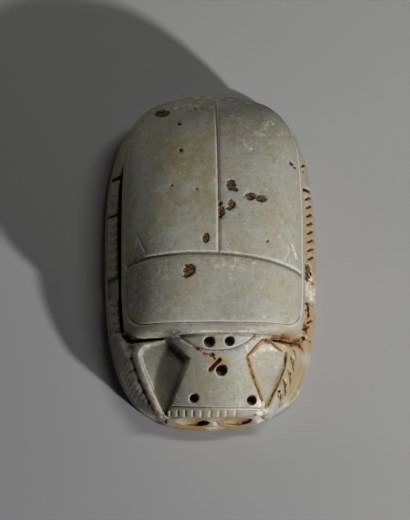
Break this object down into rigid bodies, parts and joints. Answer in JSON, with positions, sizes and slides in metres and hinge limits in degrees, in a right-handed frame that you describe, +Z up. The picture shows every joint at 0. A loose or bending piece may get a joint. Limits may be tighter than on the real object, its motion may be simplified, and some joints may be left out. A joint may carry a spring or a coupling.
{
  "type": "scarab amulet",
  "caption": "Large carved stone scarab with a domed back, incised wing-case lines, a drilled head plate and a flat oval base; lies on its flat underside.",
  "frame": {"origin": "middle of the flat underside", "axes": "+Z up through the domed back, -Y towards the head, +X to the right seen from above with the head nearest"},
  "size_m": [0.0498, 0.079, 0.032],
  "materials": {
    "stone": "smooth worn grey-green soft stone, olive and grey mottling, brown pits, tan dirt in the carved recesses"
  },
  "bodies": {
    "root": {"scarab": "stone"}
  },
  "joints": []
}
